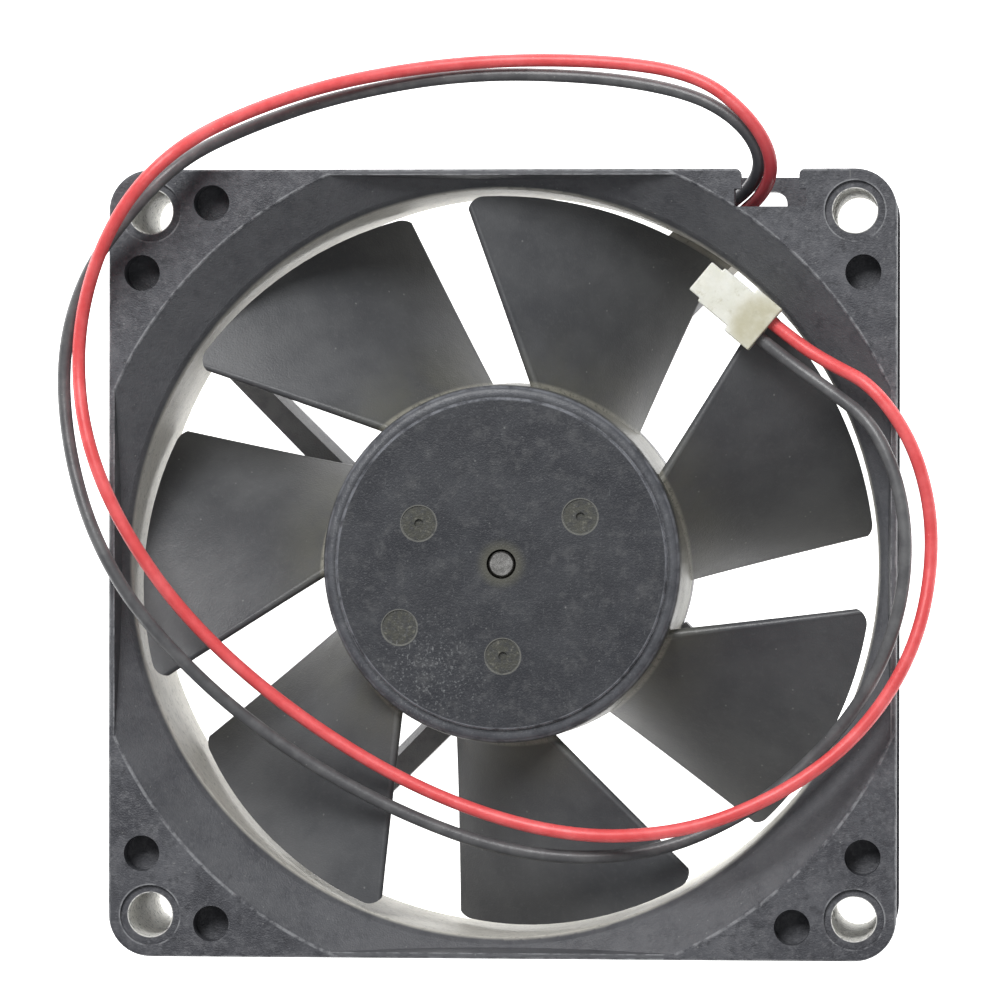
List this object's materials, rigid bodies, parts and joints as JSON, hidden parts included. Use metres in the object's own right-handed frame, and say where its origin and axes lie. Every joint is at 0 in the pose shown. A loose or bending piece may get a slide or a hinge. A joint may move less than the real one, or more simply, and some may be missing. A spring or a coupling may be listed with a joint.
{
  "type": "case fan",
  "caption": "Square brushless DC axial fan: moulded frame with corner screw holes, bladed hub on a sleeve bearing, and two free leads with a small plug.",
  "frame": {"origin": "centre of the exhaust face of the square frame, which the fan lies on", "axes": "+Z along the spin axis towards the intake side, +Y towards the edge the leads leave by, +X to the right seen from the intake side"},
  "size_m": [0.0894, 0.092, 0.0337],
  "materials": {
    "frame_plastic": "moulded glass-filled PBT, dusty",
    "impeller_plastic": "moulded glass-filled PBT, worn satin",
    "label_film": "blank silver polyester film",
    "brass": "turned",
    "wear_plastic": "natural acetal",
    "sintered_bronze": "oil-filled sintered bronze",
    "seal_rubber": "nitrile",
    "core_steel": "stamped electrical sheet",
    "bobbin_plastic": "moulded nylon",
    "enamelled_wire": "enamelled copper",
    "tinned_metal": "tin plated",
    "board_laminate": "glass epoxy with green mask",
    "chip_epoxy": "moulded epoxy",
    "capacitor_ceramic": "fired ceramic",
    "solder": "tin solder",
    "red_pvc": "soft PVC",
    "black_pvc": "soft PVC",
    "ivory_nylon": "natural nylon",
    "yoke_steel": "drawn steel",
    "bonded_ferrite": "bonded ferrite",
    "shaft_steel": "ground steel"
  },
  "bodies": {
    "housing": {"frame": "frame_plastic", "rear_label": "label_film", "bearing_tube": "brass", "thrust_cap": "wear_plastic", "sleeve_bearing": "sintered_bronze", "oil_seal": "seal_rubber", "stator_core": "core_steel", "insulator_front": "bobbin_plastic", "insulator_rear": "bobbin_plastic", "winding_1": "enamelled_wire", "winding_2": "enamelled_wire", "winding_3": "enamelled_wire", "winding_4": "enamelled_wire", "winding_pins": "tinned_metal", "circuit_board": "board_laminate", "drive_chip": "chip_epoxy", "chip_legs": "tinned_metal", "hall_sensor": "chip_epoxy", "filter_capacitor": "capacitor_ceramic", "blocking_diode": "chip_epoxy", "chip_resistors": "chip_epoxy", "solder_joints": "solder", "red_lead_tail": "red_pvc", "black_lead_tail": "black_pvc", "red_lead": "red_pvc", "black_lead": "black_pvc", "connector_housing": "ivory_nylon", "connector_terminals": "tinned_metal"},
    "rotor": {"impeller": "impeller_plastic", "rotor_yoke": "yoke_steel", "rotor_magnet": "bonded_ferrite", "shaft_bush": "brass", "shaft": "shaft_steel", "retaining_clip": "wear_plastic", "oil_slinger": "wear_plastic"}
  },
  "joints": [
    {"name": "rotor_spin", "type": "hinge", "parent": "housing", "child": "rotor", "pos_m": [0, 0, 0.0125], "axis": [0, 0, 1], "continuous": true}
  ]
}
